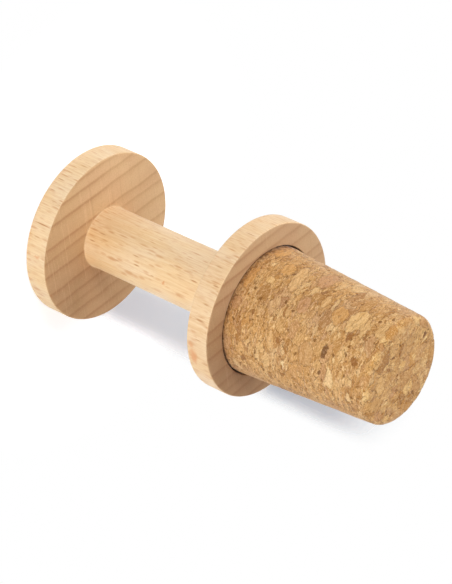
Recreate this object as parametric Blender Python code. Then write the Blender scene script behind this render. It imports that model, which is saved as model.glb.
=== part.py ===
"""A wooden bottle stopper: a handle turned from one piece of beech, with a round knob, a neck and a flange, and
a tapered plug of pressed cork glued into a shallow socket in the flange. Metres, +Z up. It stands on its knob,
cork up, with the origin at the centre of the knob's outer face."""

import math

import bmesh
import bpy
from mathutils import Matrix, Vector

# Turned handle
KNOB_DIAMETER = 0.0320
KNOB_THICKNESS = 0.0046
NECK_DIAMETER = 0.0117
NECK_LENGTH = 0.0334
FLANGE_DIAMETER = 0.0320
FLANGE_THICKNESS = 0.0045
DISC_EDGE_RADIUS = 0.0005
NECK_ROOT_RADIUS = 0.0006

# Socket in the flange, one glue gap wider and deeper than the cork that seats in it
SOCKET_DEPTH = 0.0025
SOCKET_MOUTH_RADIUS = 0.0002
GLUE_GAP = 0.0003

# Cork plug: straight in the socket, tapered where it shows
CORK_BASE_DIAMETER = 0.0233
CORK_TIP_DIAMETER = 0.0196
CORK_EXPOSED_LENGTH = 0.0289
CORK_TIP_RADIUS = 0.0012
CORK_SEAT_EDGE_RADIUS = 0.0003

# Facets of the turned forms
TURN_STEPS = 96
ARC_STEPS = 4
SMOOTH_ANGLE = math.radians(40)
WELD_DISTANCE = 1e-6


def rounded_profile(corners):
    """Points of a turned outline, in the XZ plane, from its corners (radius, height, rounding). Each corner with
    a rounding becomes an arc that is tangent to both of its sides and takes at most half of either."""
    points = [Vector((corners[0][0], 0, corners[0][1]))]
    for before, corner, after in zip(corners, corners[1:], corners[2:]):
        here = Vector((corner[0], 0, corner[1]))
        to_before = Vector((before[0], 0, before[1])) - here
        to_after = Vector((after[0], 0, after[1])) - here
        half_angle = to_before.angle(to_after) / 2
        room = min(to_before.length, to_after.length) / 2
        rounding = min(corner[2], room * math.tan(half_angle))
        if rounding == 0:
            points.append(here)
            continue
        to_before.normalize()
        to_after.normalize()
        centre = here + (to_before + to_after).normalized() * rounding / math.sin(half_angle)
        start = here + to_before * rounding / math.tan(half_angle) - centre
        end = here + to_after * rounding / math.tan(half_angle) - centre
        turn = start.angle(end)
        axis = start.cross(end)
        for step in range(ARC_STEPS + 1):
            points.append(centre + Matrix.Rotation(turn * step / ARC_STEPS, 3, axis) @ start)
    points.append(Vector((corners[-1][0], 0, corners[-1][1])))
    return points


def turned(name, corners, material):
    """An object made by spinning an outline about its own Z axis, as a lathe does."""
    bm = bmesh.new()
    outline = [bm.verts.new(point) for point in rounded_profile(corners)]
    for a, b in zip(outline, outline[1:]):
        bm.edges.new((a, b))
    bmesh.ops.spin(
        bm,
        geom=bm.verts[:] + bm.edges[:],
        cent=(0, 0, 0),
        axis=(0, 0, 1),
        angle=math.tau,
        steps=TURN_STEPS,
        use_merge=True,
    )
    bmesh.ops.remove_doubles(bm, verts=bm.verts[:], dist=WELD_DISTANCE)
    bmesh.ops.recalc_face_normals(bm, faces=bm.faces[:])
    mesh = bpy.data.meshes.new(name)
    bm.to_mesh(mesh)
    bm.free()
    mesh.shade_smooth()
    mesh.set_sharp_from_angle(angle=SMOOTH_ANGLE)
    mesh.materials.append(material)
    piece = bpy.data.objects.new(name, mesh)
    bpy.context.collection.objects.link(piece)
    return piece


def plain_material(name, colour, roughness):
    material = bpy.data.materials.new(name)
    material.use_nodes = True
    shader = material.node_tree.nodes["Principled BSDF"]
    shader.inputs["Base Color"].default_value = (*colour, 1)
    shader.inputs["Roughness"].default_value = roughness
    shader.inputs["Metallic"].default_value = 0
    return material


def turned_handle():
    """Knob, neck and flange in one outline, from the knob's outer face round to the floor of the socket. The grain
    runs along the neck."""
    knob = KNOB_DIAMETER / 2
    neck = NECK_DIAMETER / 2
    flange = FLANGE_DIAMETER / 2
    socket = CORK_BASE_DIAMETER / 2 + GLUE_GAP
    neck_end = KNOB_THICKNESS + NECK_LENGTH
    flange_face = neck_end + FLANGE_THICKNESS
    socket_floor = flange_face - SOCKET_DEPTH
    return turned(
        "turned_handle",
        [
            (0, 0, 0),
            (knob, 0, DISC_EDGE_RADIUS),
            (knob, KNOB_THICKNESS, DISC_EDGE_RADIUS),
            (neck, KNOB_THICKNESS, NECK_ROOT_RADIUS),
            (neck, neck_end, NECK_ROOT_RADIUS),
            (flange, neck_end, DISC_EDGE_RADIUS),
            (flange, flange_face, DISC_EDGE_RADIUS),
            (socket, flange_face, SOCKET_MOUTH_RADIUS),
            (socket, socket_floor, 0),
            (0, socket_floor, 0),
        ],
        plain_material("beech_wood", (0.74, 0.49, 0.30), 0.55),
    )


def tapered_cork():
    """The plug, from the end that is glued in to the free end, with its origin at the middle of the glued end."""
    base = CORK_BASE_DIAMETER / 2
    tip = CORK_TIP_DIAMETER / 2
    seat = SOCKET_DEPTH - GLUE_GAP
    end = seat + CORK_EXPOSED_LENGTH
    return turned(
        "tapered_cork",
        [
            (0, 0, 0),
            (base, 0, CORK_SEAT_EDGE_RADIUS),
            (base, seat, 0),
            (tip, end, CORK_TIP_RADIUS),
            (0, end, 0),
        ],
        plain_material("cork", (0.51, 0.27, 0.10), 0.85),
    )


for leftover in list(bpy.data.objects):
    bpy.data.objects.remove(leftover)

stopper = bpy.data.objects.new("wooden_bottle_stopper", None)
bpy.context.collection.objects.link(stopper)

handle = turned_handle()
handle.parent = stopper

plug = tapered_cork()
plug.parent = stopper
plug.location.z = KNOB_THICKNESS + NECK_LENGTH + FLANGE_THICKNESS - SOCKET_DEPTH + GLUE_GAP
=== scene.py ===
"""The looks of a wooden bottle stopper: a handle turned from one piece of beech and a tapered plug of
pressed cork. Metres, +Z up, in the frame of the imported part: it stands on its knob with the cork up."""

import math

import bmesh
import bpy
from mathutils import Euler, Matrix, Quaternion, Vector


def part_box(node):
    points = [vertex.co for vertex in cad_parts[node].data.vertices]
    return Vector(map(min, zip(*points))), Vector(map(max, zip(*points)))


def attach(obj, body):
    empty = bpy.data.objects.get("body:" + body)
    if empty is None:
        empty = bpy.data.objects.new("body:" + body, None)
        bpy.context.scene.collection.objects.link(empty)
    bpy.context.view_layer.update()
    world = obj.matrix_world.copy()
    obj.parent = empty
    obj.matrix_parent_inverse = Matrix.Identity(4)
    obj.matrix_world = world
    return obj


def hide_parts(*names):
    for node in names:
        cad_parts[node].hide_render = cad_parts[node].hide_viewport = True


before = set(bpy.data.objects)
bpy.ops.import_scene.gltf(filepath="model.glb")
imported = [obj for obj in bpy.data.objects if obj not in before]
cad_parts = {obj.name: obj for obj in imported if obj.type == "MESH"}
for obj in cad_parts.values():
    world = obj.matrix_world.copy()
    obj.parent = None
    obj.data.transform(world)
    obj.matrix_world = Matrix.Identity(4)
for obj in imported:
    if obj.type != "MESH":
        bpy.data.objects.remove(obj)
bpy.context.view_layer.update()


# Turned handle.
# The real one is a single piece of steamed beech, turned on a lathe to a knob, a neck and a flange with the
# grain along the neck, bored with a shallow socket for the cork, and fine sanded with no varnish.

MM = 0.001                         # the pieces' sizes are in millimetres, and this makes them metres


class Wire:
    """One output of a node, with arithmetic: an expression on wires and numbers adds its Math nodes."""

    def __init__(self, recipe, socket):
        self.recipe = recipe
        self.socket = socket

    def math(self, operation, first, second):
        return self.recipe.node("ShaderNodeMath", {"operation": operation}, {0: first, 1: second})

    def __add__(self, other):
        return self.math("ADD", self, other)

    def __radd__(self, other):
        return self.math("ADD", other, self)

    def __sub__(self, other):
        return self.math("SUBTRACT", self, other)

    def __rsub__(self, other):
        return self.math("SUBTRACT", other, self)

    def __mul__(self, other):
        return self.math("MULTIPLY", self, other)

    def __rmul__(self, other):
        return self.math("MULTIPLY", other, self)

    def __truediv__(self, other):
        return self.math("DIVIDE", self, other)

    def __rtruediv__(self, other):
        return self.math("DIVIDE", other, self)

    def __gt__(self, other):
        return self.math("GREATER_THAN", self, other)

    def __lt__(self, other):
        return self.math("LESS_THAN", self, other)


class Recipe:
    """A node tree, of a material or of a geometry modifier, whose nodes are all made by one method."""

    def __init__(self, tree):
        self.tree = tree
        self.tree.nodes.clear()

    def node(self, kind, settings=None, sockets=None, output=0):
        made = self.tree.nodes.new(kind)
        for name, value in (settings or {}).items():
            if name == "stops":
                self.fill_ramp(made.color_ramp, value)
            else:
                setattr(made, name, value)
        for name, value in (sockets or {}).items():
            if isinstance(value, Wire):
                self.tree.links.new(value.socket, made.inputs[name])
            else:
                made.inputs[name].default_value = value
        return Wire(self, made.outputs[output]) if made.outputs else None

    def fill_ramp(self, ramp, stops):
        while len(ramp.elements) > 1:
            ramp.elements.remove(ramp.elements[-1])
        ramp.elements[0].position = stops[0][0]
        ramp.elements[0].color = (*stops[0][1], 1)
        for place, colour in stops[1:]:
            ramp.elements.new(place).color = (*colour, 1)

    def ramp(self, value, stops):
        return self.node("ShaderNodeValToRGB", {"stops": stops}, {"Fac": value})

    def mix(self, share, first, second, blend="MIX"):
        settings = {"data_type": "RGBA", "blend_type": blend}
        return self.node("ShaderNodeMix", settings, {0: share, 6: first, 7: second}, 2)

    def larger(self, first, second):
        return self.node("ShaderNodeMath", {"operation": "MAXIMUM"}, {0: first, 1: second})

    def unsigned(self, value):
        return self.node("ShaderNodeMath", {"operation": "ABSOLUTE"}, {0: value})

    def vector(self, operation, first, second):
        return self.node("ShaderNodeVectorMath", {"operation": operation}, {0: first, 1: second})

    def scaled(self, vector, factor):
        return self.node("ShaderNodeVectorMath", {"operation": "SCALE"}, {0: vector, "Scale": factor})

    def length(self, vector):
        return self.node("ShaderNodeVectorMath", {"operation": "LENGTH"}, {0: vector}, "Value")

    def dot(self, first, second):
        settings = {"operation": "DOT_PRODUCT"}
        return self.node("ShaderNodeVectorMath", settings, {0: first, 1: second}, "Value")

    def axes(self, place):
        return [self.node("ShaderNodeSeparateXYZ", None, {0: place}, axis) for axis in range(3)]

    def smooth(self, value, low, high, start=0.0, end=1.0):
        settings = {"interpolation_type": "SMOOTHSTEP"}
        sockets = {"Value": value, "From Min": low, "From Max": high, "To Min": start, "To Max": end}
        return self.node("ShaderNodeMapRange", settings, sockets)

    def noise(self, place, size, detail=2.0, roughness=0.5, output=0):
        """Noise from 0 to 1 around 0.5, whose lumps measure size along the three axes of place."""
        scaled = self.vector("DIVIDE", place, size)
        sockets = {"Vector": scaled, "Scale": 1.0, "Detail": detail, "Roughness": roughness}
        return self.node("ShaderNodeTexNoise", None, sockets, output)

    def jitter(self, place, size, detail=2.0, roughness=0.6):
        """A random vector, each axis from -0.5 to 0.5, in lumps of that size."""
        picked = self.noise(place, size, detail, roughness, 1)
        return self.vector("SUBTRACT", picked, (0.5, 0.5, 0.5))

    def shifted(self, place, jitter, reach):
        return self.vector("ADD", place, self.vector("MULTIPLY", jitter, reach))

    def cells(self, place, size, feature="F1", output=0):
        """Voronoi cells of that size: output 0 is the distance to the centre or edge, 1 a random colour."""
        scaled = self.vector("DIVIDE", place, size)
        sockets = {"Vector": scaled, "Scale": 1.0}
        return self.node("ShaderNodeTexVoronoi", {"feature": feature}, sockets, output)


def paint(red, green, blue):
    """A colour as a node takes it, from the 0 to 255 values of a colour picker."""
    return tuple(((level / 255 + 0.055) / 1.055) ** 2.4 for level in (red, green, blue))


def rgba(*picked):
    return (*paint(*picked), 1)


def new_material(name):
    """A material with an empty recipe, and the part's own coordinates in millimetres."""
    material = bpy.data.materials.new(name)
    material.use_nodes = True
    recipe = Recipe(material.node_tree)
    metres = recipe.node("ShaderNodeTexCoord", None, None, "Object")
    return material, recipe, recipe.scaled(metres, 1 / MM)


def finish_material(recipe, colour, roughness, height, relief_mm, **constants):
    """The shader and output of a material. Height is a 0 to 1 wire, which stands relief_mm tall."""
    sockets = {"Strength": 1.0, "Distance": relief_mm * MM, "Height": height}
    bump = recipe.node("ShaderNodeBump", None, sockets)
    sockets = {"Base Color": colour, "Roughness": roughness, "Normal": bump, **constants}
    shader = recipe.node("ShaderNodeBsdfPrincipled", None, sockets)
    recipe.node("ShaderNodeOutputMaterial", None, {"Surface": shader})


# Sizes of the handle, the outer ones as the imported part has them.
_, handle_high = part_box("turned_handle")
DISC_RADIUS = handle_high.x / MM
KNOB_THICKNESS = 4.6
NECK_RADIUS = 5.85
NECK_END = 38.0
FLANGE_FACE = handle_high.z / MM
SOCKET_RADIUS = 11.88
SOCKET_FLOOR = FLANGE_FACE - 2.5
EASED_EDGE = 0.30
NECK_ROOT = 0.35
SOCKET_EDGE = 0.15

RING_NORMAL = math.radians(47.6)   # the growth rings cross the part's X axis at this angle
GRAIN_LEAN = 0.0208                # the rings drift sideways by this share of the height
# Growth rings on the knob's face: where each dark line lies across the grain, in mm from the axis, how far
# its shade reaches into the ring, and how dark it is.
RINGS = (
    (-15.2, 1.4, 0.7),
    (-12.9, 1.6, 0.9),
    (-10.1, 1.8, 1.0),
    (-5.9, 2.0, 1.0),
    (-3.7, 1.4, 0.8),
    (-0.6, 1.8, 1.0),
    (3.4, 2.2, 1.0),
    (6.3, 1.5, 0.9),
    (8.5, 1.2, 0.5),
    (10.5, 1.6, 0.9),
    (13.3, 1.8, 1.0),
    (15.4, 1.2, 0.7),
)

# Flecks that stand out on the turned sides: angle round the axis in degrees, height, width and length in mm,
# and how dark.
FLECKS = (
    (-80.1, 2.51, 0.30, 4.6, 0.9),
    (-111.4, 1.38, 0.28, 2.2, 0.7),
    (-102.9, 1.16, 0.26, 1.8, 0.6),
    (-96.4, 2.83, 0.26, 2.0, 0.55),
    (-71.3, 2.11, 0.30, 2.2, 0.6),
    (-127.0, 3.21, 0.26, 2.2, 0.55),
    (-130.6, 40.82, 0.28, 2.8, 0.7),
    (-108.9, 40.62, 0.26, 2.0, 0.5),
    (-101.7, 40.21, 0.28, 2.4, 0.65),
    (-90.2, 41.46, 0.30, 1.9, 0.8),
    (-77.5, 40.96, 0.28, 1.8, 0.6),
    (-66.9, 40.47, 0.48, 2.6, 0.75),
    (-53.9, 40.57, 0.30, 2.0, 0.6),
    (-83.0, 29.94, 0.28, 2.3, 0.75),
    (-66.0, 17.09, 0.34, 1.9, 0.8),
    (-80.6, 16.49, 0.30, 2.1, 0.65),
    (-58.6, 12.51, 0.30, 1.6, 0.6),
    (-59.8, 20.91, 0.34, 1.3, 0.6),
    (-73.3, 6.22, 0.30, 1.8, 0.75),
    (-91.6, 7.86, 0.30, 2.4, 0.65),
)
# Warm stains, in the same terms: a resin spot on the neck, and patches on the rims of the flange and the knob.
STAINS = (
    (-56.1, 23.52, 0.55, 1.2, 0.8),
    (-39.2, 39.42, 4.3, 2.0, 0.75),
    (-48.7, 39.10, 2.0, 1.3, 0.5),
    (-58.6, 2.80, 0.7, 2.2, 0.5),
)


def lozenge(recipe, place, middle, turn, size):
    """How far inside a lozenge of that size in mm a place is, 1 in its middle and 0 at its skin, and where
    along the lozenge's own axes, from -1 to 1. The lozenge is turned by those degrees."""
    moved = recipe.vector("SUBTRACT", place, middle)
    facing = Euler([math.radians(angle) for angle in turn]).to_matrix()
    local = []
    for axis, side in zip(facing.col, size):
        local.append(recipe.dot(moved, axis * (2 / side)))
    joined = recipe.node("ShaderNodeCombineXYZ", None, {0: local[0], 1: local[1], 2: local[2]})
    return 1 - recipe.length(joined), local


def on_side(angle, height, radius):
    """The place at that angle round the axis."""
    return radius * math.cos(math.radians(angle)), radius * math.sin(math.radians(angle)), height


def on_handle(angle, height):
    radius = NECK_RADIUS if KNOB_THICKNESS < height < NECK_END else DISC_RADIUS
    return on_side(angle, height, radius)


def ring_shade(recipe, across):
    """How dark the growth rings are across the grain: each is darkest at its line and fades slowly."""
    shade = 0.0
    for line, reach, strength in RINGS:
        begun = recipe.smooth(across, line - 0.38, line + 0.08)
        sharp = recipe.smooth(across, line + 0.60, line + 0.08, 0.0, strength * 0.52)
        slow = recipe.smooth(across, line + reach, line + 0.05, 0.0, strength * 0.45)
        shade = begun * (sharp + slow) + shade
    return shade


RAY_SIZE = (1.5, 0.54, 3.8)        # across the grain, along the rings and up, in mm
DASH_SIZE = (1.1, 0.34, 2.2)
FLECK_DEPTH = 3.0                  # how far a fleck reaches in and out of the side, in mm


def beech():
    """Beech with its rings, rays and flecks, which shows side grain or end grain as a face is turned."""
    material, recipe, place = new_material("beech_turned")
    grain = recipe.node("ShaderNodeMapping", None, {"Vector": place, "Rotation": (0, 0, -RING_NORMAL)})
    across, along, up = recipe.axes(grain)

    wander = recipe.noise(grain, (6.0, 7.0, 60.0), 2.0) - 0.5
    ring = ring_shade(recipe, across - (up - KNOB_THICKNESS) * GRAIN_LEAN + wander * 0.9)

    # Rays: thin upright plates that lie across the rings. Turned sides cut them to short dark dashes.
    long_rays = recipe.cells(grain, RAY_SIZE)
    long_kind = recipe.axes(recipe.cells(grain, RAY_SIZE, output=1))[0]
    rays = recipe.smooth(long_rays, 0.40, 0.10) * recipe.smooth(long_kind, 0.10, 0.95)
    short_rays = recipe.cells(grain, DASH_SIZE)
    short_kind = recipe.axes(recipe.cells(grain, DASH_SIZE, output=1))[1]
    dashes = recipe.smooth(short_rays, 0.46, 0.12) * recipe.smooth(short_kind, 0.10, 0.9)
    fibres = recipe.noise(grain, (0.26, 0.26, 6.0), 3.0, 0.6)
    pores = recipe.smooth(recipe.noise(grain, (0.15, 0.15, 1.1), 1.0), 0.58, 0.72)
    clouds = recipe.noise(grain, (5.0, 5.0, 13.0), 2.0)

    flecks = 0.0
    for angle, height, width, length, strength in FLECKS:
        size = (FLECK_DEPTH, width * 1.3, length * 1.2)
        inside, _ = lozenge(recipe, place, on_handle(angle, height), (0, 0, angle), size)
        flecks = recipe.smooth(inside, 0.0, 0.85) * strength + flecks
    ragged = recipe.shifted(place, recipe.jitter(place, (1.2, 1.2, 1.2), 2.0, 0.5), (1.6, 1.6, 1.6))
    stains = 0.0
    for angle, height, width, length, strength in STAINS:
        size = (FLECK_DEPTH, width, length)
        inside, _ = lozenge(recipe, ragged, on_handle(angle, height), (0, 0, angle), size)
        stains = recipe.smooth(inside, 0.0, 0.7) * strength + stains

    side = recipe.mix(recipe.smooth(clouds, 0.36, 0.64), rgba(247, 219, 180), rgba(246, 212, 163))
    side = recipe.mix(ring * 0.16, side, rgba(224, 180, 127))
    side = recipe.mix(recipe.smooth(fibres, 0.46, 0.62) * 0.44, side, rgba(228, 188, 139))
    side = recipe.mix(recipe.smooth(fibres, 0.46, 0.32) * 0.40, side, rgba(252, 229, 194))
    side = recipe.mix(dashes * 0.48, side, rgba(214, 152, 96))
    side = recipe.mix(pores * 0.22, side, rgba(212, 160, 108))
    side = recipe.mix(rays * 0.60, side, rgba(208, 144, 88))
    side = recipe.mix(recipe.smooth(flecks, 0.0, 1.1), side, rgba(194, 128, 72))
    side = recipe.mix(stains, side, rgba(226, 154, 98))
    # Painted shade: the neck is darker and warmer towards the knob, where the knob shades it. The flange's
    # side is a little browner than the rest, and its face has painted shade.
    shaded_neck_foot = recipe.smooth(up, 18.0, 8.0) * (up > KNOB_THICKNESS)
    side = recipe.mix(shaded_neck_foot * 0.75, side, (0.94, 0.86, 0.75, 1), "MULTIPLY")
    on_flange = recipe.smooth(up, NECK_END - 0.2, NECK_END)
    side = recipe.mix(on_flange, side, (0.96, 0.93, 0.92, 1), "MULTIPLY")

    # End grain: rings, the rays' thin lines across them, and painted light: lighter towards -X, where more
    # light falls, and darker on the other side.
    painted_light_side = recipe.smooth(along * 0.74 - across * 0.67, -15.0, 15.0)
    end = recipe.mix(painted_light_side, rgba(202, 158, 110), rgba(225, 187, 140))
    end = recipe.mix(recipe.smooth(clouds, 0.38, 0.66) * 0.4, end, rgba(218, 173, 130))
    line_strength = recipe.smooth(along, -3.0, 6.0, 0.85, 0.50)
    end = recipe.mix(ring * line_strength, end, rgba(186, 134, 88))
    ray_lines = recipe.noise(grain, (13.0, 0.20, 6.0), 2.0, 0.6)
    end = recipe.mix(recipe.smooth(ray_lines, 0.60, 0.74) * 0.45, end, rgba(242, 206, 162))
    end = recipe.mix(recipe.smooth(ray_lines, 0.42, 0.30) * 0.28, end, rgba(188, 142, 100))
    speckle = recipe.noise(grain, (0.20, 0.20, 2.0), 2.0, 0.7)
    end = recipe.mix(recipe.smooth(speckle, 0.50, 0.72) * 0.32, end, rgba(190, 144, 100))
    end = recipe.mix(recipe.smooth(speckle, 0.48, 0.30) * 0.25, end, rgba(240, 204, 160))
    # Painted shade: the flange's face is darker, most of all in front, where less light reaches it.
    shaded_flange_face = recipe.smooth(up, 39.0, 42.0) * recipe.smooth(recipe.axes(place)[1], 14.0, -12.0, 0.72, 1.0)
    end = recipe.mix(shaded_flange_face, end, (0.81, 0.79, 0.80, 1), "MULTIPLY")

    # A thin, uneven dark line at the lip of the socket: dried glue, and painted shade of the gap round the
    # cork.
    radius = recipe.length(recipe.vector("MULTIPLY", place, (1, 1, 0)))
    smear = recipe.noise(place, (0.9, 0.9, 0.9), 3.0, 0.6)
    lip = recipe.smooth(radius + smear * 0.5, SOCKET_RADIUS + 0.42, SOCKET_RADIUS + 0.20)
    glue_and_gap_shade = lip * recipe.smooth(up, SOCKET_FLOOR - 0.3, SOCKET_FLOOR)

    # Faces across the axis show end grain, and those along it side grain.
    normal = recipe.node("ShaderNodeTexCoord", None, None, "Normal")
    facing_axis = recipe.unsigned(recipe.axes(normal)[2])
    colour = recipe.mix(recipe.smooth(facing_axis, 0.45, 0.92), side, end)
    colour = recipe.mix(glue_and_gap_shade * 0.65, colour, rgba(104, 66, 34))

    roughness = recipe.smooth(fibres, 0.3, 0.7, 0.50, 0.62)
    height = fibres * 0.5 + speckle * 0.3 - rays * 0.35 - pores * 0.25
    constants = {"Specular IOR Level": 0.35, "IOR": 1.45, "Sheen Weight": 0.25, "Sheen Roughness": 0.4}
    finish_material(recipe, colour, roughness, height, relief_mm=0.02, **constants)
    return material


HANDLE_TURNS = 256                 # facets round the axis
HANDLE_STEP = 0.8                  # length in mm of the facets along the outline
ARC_STEPS = 6                      # facets of a rounded corner
WELD = 1e-6


def turned_shape(corners, step):
    """The outline of a turned piece in a bmesh: corners are (radius, height, rounding) in mm, from the axis
    out and back. Bevels round the corners, and the long sides are divided every step."""
    bm = bmesh.new()
    points = [bm.verts.new((radius * MM, 0, height * MM)) for radius, height, _ in corners]
    for first, second in zip(points, points[1:]):
        bm.edges.new((first, second))
    for rounding in sorted({corner[2] for corner in corners} - {0}):
        rounded = [point for point, corner in zip(points, corners) if corner[2] == rounding]
        bmesh.ops.bevel(
            bm,
            geom=rounded,
            offset=rounding * MM,
            offset_type="OFFSET",
            segments=ARC_STEPS,
            profile=0.5,
            affect="VERTICES",
            material=-1,
        )
    for edge in list(bm.edges):
        cuts = round(edge.calc_length() / (step * MM)) - 1
        if cuts > 0:
            bmesh.ops.subdivide_edges(bm, edges=[edge], cuts=cuts)
    return bm


def spin_outline(bm, steps):
    """Spins the outline once round the axis and welds the seam and the middle of both ends."""
    bmesh.ops.spin(
        bm,
        geom=bm.verts[:] + bm.edges[:],
        cent=(0, 0, 0),
        axis=(0, 0, 1),
        angle=math.tau,
        steps=steps,
        use_merge=True,
    )
    bmesh.ops.remove_doubles(bm, verts=bm.verts[:], dist=WELD)
    bmesh.ops.recalc_face_normals(bm, faces=bm.faces[:])


def finished_piece(name, bm, material, node):
    """The bmesh as a smooth-shaded object that rides on the part's one body and stands for a node."""
    mesh = bpy.data.meshes.new(name)
    bm.to_mesh(mesh)
    bm.free()
    mesh.shade_smooth()
    mesh.materials.append(material)
    piece = bpy.data.objects.new(name, mesh)
    bpy.context.scene.collection.objects.link(piece)
    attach(piece, "root")
    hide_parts(node)
    return piece


handle_shape = turned_shape(
    [
        (0, 0, 0),
        (DISC_RADIUS, 0, EASED_EDGE),
        (DISC_RADIUS, KNOB_THICKNESS, EASED_EDGE),
        (NECK_RADIUS, KNOB_THICKNESS, NECK_ROOT),
        (NECK_RADIUS, NECK_END, NECK_ROOT),
        (DISC_RADIUS, NECK_END, EASED_EDGE),
        (DISC_RADIUS, FLANGE_FACE, EASED_EDGE),
        (SOCKET_RADIUS, FLANGE_FACE, SOCKET_EDGE),
        (SOCKET_RADIUS, SOCKET_FLOOR, 0),
        (0, SOCKET_FLOOR, 0),
    ],
    HANDLE_STEP,
)
spin_outline(handle_shape, HANDLE_TURNS)
finished_piece("beech_handle", handle_shape, beech(), "turned_handle")


# Cork plug.
# The real one is agglomerated cork: bark ground to granules a few millimetres long, pressed together with a
# binder so that they lie flat across the axis, then ground to a taper and glued into the flange's socket.

CHIP_SIZE = (3.0, 3.0, 1.4)        # largest granules, in mm: across the axis both ways, and along it
CRUMB_SIZE = (1.6, 1.6, 0.60)
GRIT_SIZE = (0.55, 0.55, 0.30)
PIT_SIZE = (1.2, 1.2, 0.72)


def granules(recipe, place):
    """The granule pattern, the same in the material and in the relief: two random values from 0 to 1 that
    are the same all over a granule, the layers inside it, the cracks between granules, and the open pits."""
    swirl = recipe.jitter(place, (1.7, 1.7, 1.2))
    fray = recipe.jitter(place, (0.40, 0.40, 0.30))
    bent = recipe.shifted(place, swirl, (1.7, 1.7, 1.1))
    eased = recipe.shifted(place, swirl, (0.6, 0.6, 0.35))
    bent = recipe.shifted(bent, fray, (0.38, 0.38, 0.24))
    chip = recipe.cells(bent, CHIP_SIZE, output=1)
    crumb = recipe.cells(bent, CRUMB_SIZE, output=1)
    grit = recipe.cells(bent, GRIT_SIZE, output=1)
    is_chip = recipe.axes(chip)[2] > 0.70
    is_crumb = recipe.axes(crumb)[2] > 0.45
    granule = recipe.mix(is_chip, recipe.mix(is_crumb, grit, crumb), chip)
    chip_gap = recipe.smooth(recipe.cells(bent, CHIP_SIZE, "DISTANCE_TO_EDGE"), 0.06, 0.0) * is_chip
    crumb_gap = recipe.smooth(recipe.cells(bent, CRUMB_SIZE, "DISTANCE_TO_EDGE"), 0.13, 0.0) * is_crumb
    uneven = recipe.smooth(recipe.noise(place, (0.8, 0.8, 0.5), 2.0, 0.6), 0.44, 0.60)
    crack = (chip_gap + crumb_gap * (1 - is_chip)) * uneven
    # The layers of bark lie at a different tilt in each granule.
    lean = recipe.vector("SUBTRACT", granule, (0.5, 0.5, 0.5))
    tilted = recipe.node("ShaderNodeVectorRotate", {"rotation_type": "EULER_XYZ"}, {
        "Vector": eased,
        "Rotation": recipe.vector("MULTIPLY", lean, (1.6, 1.6, 3.0)),
    })
    layers = recipe.noise(tilted, (1.2, 1.2, 0.20), 3.0, 0.6)
    crowd = recipe.smooth(recipe.noise(place, (3.4, 3.4, 2.6), 1.0), 0.32, 0.60)
    pit_kind = recipe.axes(recipe.cells(bent, PIT_SIZE, output=1))[0]
    wide = recipe.smooth(pit_kind, 0.20, 1.0, 0.0, 0.36)
    pit = recipe.smooth(recipe.cells(bent, PIT_SIZE) - wide * (crowd * 0.55 + 0.45), 0.02, -0.12)
    nick = recipe.smooth(recipe.noise(bent, (0.40, 0.40, 0.26), 2.0, 0.6), 0.60, 0.70) * crowd
    kind, hue, _ = recipe.axes(granule)
    return kind, hue, layers, crack, recipe.larger(pit, nick)


# Granules that stand out, in the colours of bark from pale to dark. On the side: angle round the axis in
# degrees, height, width round the axis and length along it in mm, and tilt in degrees. On the end: x, y,
# width, length and turn.
SLIVER, STRAW, SAND, TAN = (255, 232, 184), (243, 201, 140), (238, 194, 136), (216, 170, 116)
ROSE, AMBER, BROWN, UMBER = (212, 161, 118), (228, 174, 106), (156, 102, 52), (120, 78, 44)
SIDE_GRANULES = (
    (-117.0, 65.1, 5.6, 2.9, -12, STRAW),
    (-130.0, 50.9, 7.4, 2.2, 9, SAND),
    (-108.5, 55.1, 3.2, 2.3, 0, ROSE),
    (-77.5, 62.2, 2.6, 1.2, 0, UMBER),
    (-66.0, 51.8, 4.2, 1.5, 8, SAND),
    (-133.5, 48.1, 3.4, 2.9, 5, AMBER),
    (-115.0, 47.0, 1.3, 1.4, 0, STRAW),
    (-82.0, 58.3, 1.1, 0.9, 0, STRAW),
    (-49.0, 54.7, 1.7, 0.6, 6, SLIVER),
    (-114.0, 61.8, 3.8, 2.8, 4, AMBER),
    (-143.7, 55.0, 5.5, 3.0, 3, ROSE),
    (-147.3, 57.8, 3.0, 1.4, 0, SAND),
    (-34.0, 66.2, 5.0, 0.7, -4, SAND),
    (-68.0, 59.0, 4.2, 3.0, 6, TAN),
    (-120.6, 58.1, 2.5, 1.5, 5, SAND),
    (-153.8, 43.9, 6.0, 2.5, 8, AMBER),
    (-111.3, 43.6, 4.5, 1.8, 0, AMBER),
    (-86.8, 48.0, 1.0, 0.8, 30, TAN),
    (-80.0, 68.0, 1.5, 1.3, 0, BROWN),
    (-104.3, 68.0, 1.0, 1.2, 30, BROWN),
    (-100.0, 65.4, 1.7, 1.2, -12, BROWN),
    (-56.5, 62.0, 1.0, 0.7, 0, UMBER),
    (-95.5, 52.6, 2.3, 0.6, 14, BROWN),
    (-98.2, 53.8, 0.7, 0.6, 0, UMBER),
    (-127.0, 56.5, 1.0, 1.1, 40, BROWN),
    (-38.0, 46.4, 1.2, 1.1, -15, BROWN),
    (-26.0, 68.5, 1.3, 1.0, 0, BROWN),
    (-36.5, 54.4, 1.0, 0.7, -12, BROWN),
    (-70.0, 53.4, 0.9, 1.1, 0, BROWN),
    (-83.0, 47.2, 1.1, 0.7, 0, BROWN),
)
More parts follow.
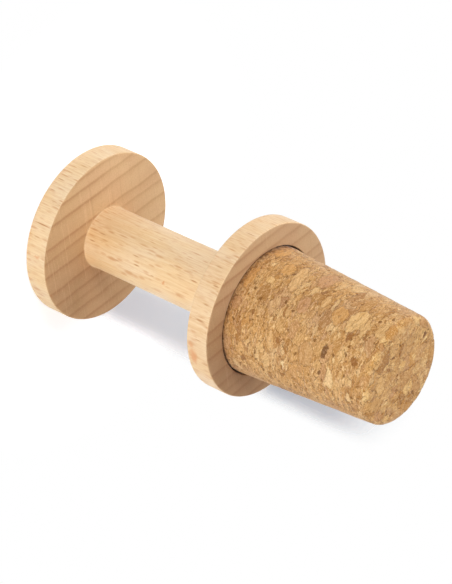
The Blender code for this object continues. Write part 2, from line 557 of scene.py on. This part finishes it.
END_GRANULES = (
    (1.9, 4.0, 2.9, 2.5, 0, STRAW),
    (-4.0, -1.7, 4.0, 3.3, 0, TAN),
    (-1.0, -0.8, 1.5, 1.6, 0, STRAW),
    (-3.2, 1.8, 0.8, 1.5, 0, STRAW),
    (-4.5, 1.0, 1.8, 1.1, 0, SAND),
    (3.2, 1.2, 1.3, 0.8, 0, BROWN),
    (3.5, 0.2, 2.8, 1.1, 0, ROSE),
    (3.5, -4.4, 3.6, 2.3, 35, SAND),
    (-2.8, -5.2, 1.1, 3.4, 5, TAN),
    (-0.3, -3.8, 1.0, 0.9, 0, STRAW),
    (-7.3, 1.7, 1.2, 0.9, 0, UMBER),
    (-7.2, -3.0, 2.5, 1.4, 12, SAND),
    (-6.2, -5.6, 1.4, 2.1, 10, SAND),
    (5.0, -0.9, 0.8, 0.9, 0, STRAW),
    (0.8, -4.3, 0.6, 0.8, 0, BROWN),
    (8.4, -1.0, 2.0, 2.2, 0, ROSE),
)
GRANULE_DEPTH = 3.0

# Sizes of the cork: its radius and height where it leaves the flange, and at its free end.
CORK_BASE = 11.65
CORK_TIP = 9.8
CORK_FOOT_Z = 42.5
CORK_END_Z = 71.4


def cork():
    """Pressed cork, from the granules' colours to what lies over them: grit, cracks, pits, a glued foot,
    painted shade and light.
    """
    material, recipe, place = new_material("cork_pressed")
    kind, hue, layers, crack, pit = granules(recipe, place)
    height_up = recipe.axes(place)[2]
    normal = recipe.node("ShaderNodeTexCoord", None, None, "Normal")
    # Painted light: faces that turn towards the end are paler, standing in for more light falling on the end.
    painted_light_end = recipe.smooth(recipe.axes(normal)[2], 0.25, 0.85)

    tone = recipe.noise(place, (0.30, 0.30, 0.17), 3.0, 0.7)
    streaks = recipe.noise(place, (1.4, 1.4, 0.20), 3.0, 0.65)
    regions = recipe.noise(place, (6.5, 6.5, 5.0), 2.0)
    colour = recipe.ramp(kind, (
        (0.00, paint(168, 116, 61)),
        (0.25, paint(199, 147, 86)),
        (0.60, paint(213, 165, 105)),
        (0.85, paint(228, 185, 126)),
        (1.00, paint(242, 206, 149)),
    ))
    colour = recipe.mix(recipe.smooth(hue, 0.70, 0.95) * 0.50, colour, rgba(200, 152, 114))
    colour = recipe.mix(recipe.smooth(hue, 0.26, 0.05) * 0.45, colour, rgba(215, 156, 86))
    colour = recipe.mix(recipe.smooth(regions, 0.52, 0.66) * 0.35, colour, rgba(212, 158, 92))
    colour = recipe.mix(recipe.smooth(regions, 0.46, 0.32) * 0.35, colour, rgba(202, 158, 118))
    colour = recipe.mix(recipe.smooth(layers, 0.50, 0.66) * 0.46, colour, rgba(172, 120, 64))
    colour = recipe.mix(recipe.smooth(layers, 0.46, 0.32) * 0.44, colour, rgba(250, 214, 160))

    # The granules of the two tables have ragged outlines and stripes lengthwise.
    ragged = recipe.shifted(place, recipe.jitter(place, (1.1, 1.1, 0.8), 3.0), (2.2, 2.2, 1.4))
    spots = []
    for angle, height, width, length, tilt, picked in SIDE_GRANULES:
        taper = (height - CORK_FOOT_Z) / (CORK_END_Z - CORK_FOOT_Z)
        radius = CORK_BASE + (CORK_TIP - CORK_BASE) * taper
        size = (GRANULE_DEPTH, width, length)
        spots.append((on_side(angle, height, radius), (tilt, 0, angle), size, picked))
    for x, y, width, length, turn, picked in END_GRANULES:
        size = (GRANULE_DEPTH, length, width)
        spots.append(((x, y, CORK_END_Z), (0, 90, turn), size, picked))
    wobble = recipe.noise(place, (1.6, 1.6, 1.6), 2.0) * 5.0
    flake = rgba(*TAN)
    large = 0.0
    seam = 0.0
    for middle, turn, size, picked in spots:
        inside, local = lozenge(recipe, ragged, middle, turn, size)
        sockets = {"W": local[2] * (size[2] * 2.0) + wobble, "Scale": 1.0, "Detail": 2.0, "Roughness": 0.6}
        stripes = recipe.node("ShaderNodeTexNoise", {"noise_dimensions": "1D"}, sockets)
        dark = rgba(picked[0] * 0.90, picked[1] * 0.84, picked[2] * 0.74)
        striped = recipe.mix(recipe.smooth(stripes, 0.42, 0.62), rgba(*picked), dark)
        plain = 0.92 if picked in (SLIVER, STRAW, UMBER) else 0.76
        here = recipe.smooth(inside, 0.0, 0.16, 0.0, plain)
        flake = recipe.mix(recipe.smooth(inside, -0.02, 0.0), flake, striped)
        large = recipe.larger(large, here)
        seam = recipe.larger(seam, recipe.smooth(inside, -0.12, 0.03))
    colour = recipe.mix((seam - large) * 0.5, colour, rgba(134, 86, 40))
    colour = recipe.mix(large, colour, flake)

    fine = 1 - large * 0.5
    colour = recipe.mix(recipe.smooth(tone, 0.50, 0.66) * fine * 0.42, colour, rgba(158, 104, 46))
    colour = recipe.mix(recipe.smooth(tone, 0.47, 0.32) * fine * 0.46, colour, rgba(252, 218, 166))
    colour = recipe.mix(recipe.smooth(streaks, 0.54, 0.68) * fine * 0.42, colour, rgba(158, 106, 48))
    colour = recipe.mix(crack * fine * 0.76, colour, rgba(122, 74, 24))
    colour = recipe.mix(pit * (1 - large * 0.75) * 0.80, colour, rgba(122, 78, 32))

    # Glue and dark crumbs stain the cork where it leaves the flange, with painted shade there as well, and
    # painted light makes the cut end a little paler.
    glue_and_shade = recipe.smooth(height_up + streaks * 2.4, 45.2, 43.6)
    colour = recipe.mix(glue_and_shade * 0.45, colour, rgba(150, 100, 58))
    crumbs = recipe.smooth(recipe.noise(place, (0.7, 0.7, 0.55), 3.0, 0.6), 0.50, 0.60)
    foot = recipe.smooth(height_up + streaks * 1.6, 44.5, 43.3)
    colour = recipe.mix(crumbs * foot * 0.70, colour, rgba(106, 68, 36))
    colour = recipe.mix(painted_light_end, colour, (1.06, 1.04, 0.94, 1), "MULTIPLY")

    relief = tone * -0.6 - streaks * 0.3 - crack * 0.6 - layers * 0.3
    roughness = recipe.smooth(tone, 0.3, 0.7, 0.78, 0.92)
    constants = {"Specular IOR Level": 0.2, "Sheen Weight": 0.35, "Sheen Roughness": 0.4}
    finish_material(recipe, colour, roughness, relief, relief_mm=0.05, **constants)
    return material


def relief_modifier(piece):
    """A geometry modifier that sinks the surface where the granule pattern has cracks and pits."""
    tree = bpy.data.node_groups.new("cork_relief", "GeometryNodeTree")
    tree.interface.new_socket("Geometry", in_out="INPUT", socket_type="NodeSocketGeometry")
    tree.interface.new_socket("Geometry", in_out="OUTPUT", socket_type="NodeSocketGeometry")
    recipe = Recipe(tree)
    plain = recipe.node("NodeGroupInput")
    metres = recipe.node("GeometryNodeInputPosition")
    place = recipe.scaled(metres, 1 / MM)
    kind, _, _, crack, pit = granules(recipe, place)
    swell = recipe.noise(place, (5.0, 5.0, 5.0), 2.0) - 0.5
    depth = crack * 0.10 + pit * 0.10 + kind * 0.07 + swell * 0.12   # in mm
    normal = recipe.node("GeometryNodeInputNormal")
    offset = recipe.scaled(normal, depth * -MM)
    moved = recipe.node("GeometryNodeSetPosition", None, {"Geometry": plain, "Offset": offset})
    recipe.node("NodeGroupOutput", None, {"Geometry": moved})
    modifier = piece.modifiers.new("cork_relief", "NODES")
    modifier.node_group = tree


cork_low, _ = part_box("tapered_cork")
CORK_SEAT = cork_low.z / MM
CORK_SEAT_EDGE = 0.3
CORK_END_EDGE = 1.2
CORK_TURNS = 320
CORK_STEP = 0.22

cork_shape = turned_shape(
    [
        (0, CORK_SEAT, 0),
        (CORK_BASE, CORK_SEAT, CORK_SEAT_EDGE),
        (CORK_BASE, CORK_FOOT_Z, 0),
        (CORK_TIP, CORK_END_Z, CORK_END_EDGE),
        (0, CORK_END_Z, 0),
    ],
    CORK_STEP,
)
spin_outline(cork_shape, CORK_TURNS)
plug = finished_piece("cork_plug", cork_shape, cork(), "tapered_cork")
relief_modifier(plug)
# The relief goes into the mesh itself, and the modifier is taken off.
rough_mesh = bpy.data.meshes.new_from_object(plug.evaluated_get(bpy.context.evaluated_depsgraph_get()))
plug.modifiers.clear()
plug.data = rough_mesh


# Floor and backdrop.
# A plain pale floor under the knob, and a plain upright sheet that all but touches the rims of both discs, as
# the table does on which the real stopper lies. Their lit parts look white, and they keep its soft shadow.

STAGE_SIZE = 4.0
STAGE_CENTRE = Vector((0, 0, 0.022))
FADE_START = 0.036                 # past this distance from the neck both fade to the white around them
FADE_END = 0.050
SHEET_TURN = math.radians(48.5)    # direction from the stopper's axis to the sheet
SHEET_GAP = 0.0001
# The backdrop's shadow is soft at its sides: distances from the upright line in its middle.
SHADOW_MIDDLE = -0.0019
SHADOW_FULL = 0.0030
SHADOW_NONE = 0.0077
SHEET_SIDE = Vector((math.sin(SHEET_TURN), -math.cos(SHEET_TURN), 0))


def white_sheet(name, placed, shade, glow, one_sided):
    """A large flat square, matte, with just enough glow towards the camera that its lit parts are white. A
    one-sided sheet is there only for the camera, from its front, in the strip that keeps the shadow."""
    bm = bmesh.new()
    bmesh.ops.create_grid(bm, x_segments=1, y_segments=1, size=STAGE_SIZE / 2, matrix=placed)
    mesh = bpy.data.meshes.new(name)
    bm.to_mesh(mesh)
    bm.free()
    material = bpy.data.materials.new(name)
    material.use_nodes = True
    recipe = Recipe(material.node_tree)
    seen = recipe.node("ShaderNodeLightPath", None, None, "Is Camera Ray")
    mirrored = recipe.node("ShaderNodeLightPath", None, None, "Is Glossy Ray")
    matte = recipe.node("ShaderNodeBsdfDiffuse", None, {"Color": (*shade, 1)})
    lit = recipe.node("ShaderNodeEmission", None, {"Color": (*glow, 1), "Strength": seen + mirrored})
    paper = recipe.node("ShaderNodeAddShader", None, {0: matte, 1: lit})
    place = recipe.node("ShaderNodeTexCoord", None, None, "Object")
    away = recipe.length(recipe.vector("SUBTRACT", place, STAGE_CENTRE))
    near = recipe.smooth(away, FADE_END, FADE_START)
    if one_sided:
        off = recipe.unsigned(recipe.dot(place, SHEET_SIDE) - SHADOW_MIDDLE)
        strip = recipe.smooth(off, SHADOW_NONE, SHADOW_FULL)
        back = recipe.node("ShaderNodeNewGeometry", None, None, "Backfacing")
        there = seen * near * strip * (1 - back)
    else:
        there = seen * near + (1 - seen)
    clear = recipe.node("ShaderNodeBsdfTransparent")
    finish = recipe.node("ShaderNodeMixShader", None, {0: there, 1: clear, 2: paper})
    recipe.node("ShaderNodeOutputMaterial", None, {"Surface": finish})
    mesh.materials.append(material)
    sheet = bpy.data.objects.new(name, mesh)
    bpy.context.scene.collection.objects.link(sheet)


FLOOR_SHADE = (0.80, 0.80, 0.80)
FLOOR_GLOW = (0.58, 0.58, 0.60)
BACKDROP_SHADE = (0.98, 0.80, 0.70)
BACKDROP_GLOW = (0.05, 0.23, 0.36)  # cool, to make up for the warm light that the wood throws on the sheet

white_sheet("floor", Matrix.Identity(4), FLOOR_SHADE, FLOOR_GLOW, one_sided=False)

turned_to_sheet = Matrix.Rotation(SHEET_TURN, 4, "Z")
beside = turned_to_sheet @ Vector((DISC_RADIUS * MM + SHEET_GAP, 0, STAGE_SIZE / 2))
upright = turned_to_sheet @ Matrix.Rotation(math.radians(-90), 4, "Y")
white_sheet("backdrop", Matrix.Translation(beside) @ upright, BACKDROP_SHADE, BACKDROP_GLOW, one_sided=True)


# Light and camera.
# Soft studio light: an even white surround, a key lamp in front, a broad lamp above and one on either side,
# and the photograph's view of the stopper.

SURROUND = 0.32
surround = bpy.data.worlds.new("surround")
bpy.context.scene.world = surround
surround.use_nodes = True
sky = Recipe(surround.node_tree)
direct = sky.node("ShaderNodeLightPath", None, None, "Is Camera Ray")
mirrored = sky.node("ShaderNodeLightPath", None, None, "Is Glossy Ray")
strength = sky.node("ShaderNodeMix", {"data_type": "FLOAT"}, {0: direct + mirrored, 2: SURROUND, 3: 1.0})
shell = sky.node("ShaderNodeBackground", None, {"Color": (1, 1, 1, 1), "Strength": strength})
sky.node("ShaderNodeOutputWorld", None, {"Surface": shell})

TARGET = Vector((0.0001, 0, 0.03307))


def soft_lamp(name, towards, distance, size, level):
    """A square lamp that shines on the part from that direction. Level is how much light it adds to a white
    surface that faces it, where 1 shows a colour as written."""
    lamp = bpy.data.lights.new(name, "AREA")
    lamp.size = size
    lamp.energy = level * (math.pi * distance) ** 2
    holder = bpy.data.objects.new(name, lamp)
    direction = Vector(towards).normalized()
    holder.location = TARGET + direction * distance
    holder.rotation_mode = "QUATERNION"
    holder.rotation_quaternion = (-direction).to_track_quat("-Z", "Y")
    bpy.context.scene.collection.objects.link(holder)


LAMP_DISTANCE = 0.7
soft_lamp("key", (-0.49, -0.86, 0.40), LAMP_DISTANCE, 0.2, 0.31)
soft_lamp("high", (-0.50, 0.0, 0.85), LAMP_DISTANCE, 0.6, 0.44)
soft_lamp("left", (-0.90, 0.30, 0.30), LAMP_DISTANCE, 0.7, 0.25)
soft_lamp("right", (0.90, -0.40, 0.0), LAMP_DISTANCE, 0.5, 0.98)

ELEVATION = math.radians(33.69)    # of the camera above the horizontal
ROLL = math.radians(114.61)        # lays the upright stopper down as in the photograph
DISTANCE = 0.42466
LENS = 150.6
SENSOR_WIDTH = 36

eye = bpy.data.cameras.new("camera")
eye.lens = LENS
eye.sensor_width = SENSOR_WIDTH
eye.clip_start = 0.01
eye.clip_end = 20
camera = bpy.data.objects.new("camera", eye)
backwards = Vector((0, -math.cos(ELEVATION), math.sin(ELEVATION)))
camera.location = TARGET + backwards * DISTANCE
camera.rotation_mode = "QUATERNION"
camera.rotation_quaternion = (-backwards).to_track_quat("-Z", "Y") @ Quaternion((0, 0, 1), ROLL)
bpy.context.scene.collection.objects.link(camera)
bpy.context.scene.camera = camera
bpy.context.scene.view_settings.view_transform = "Standard"
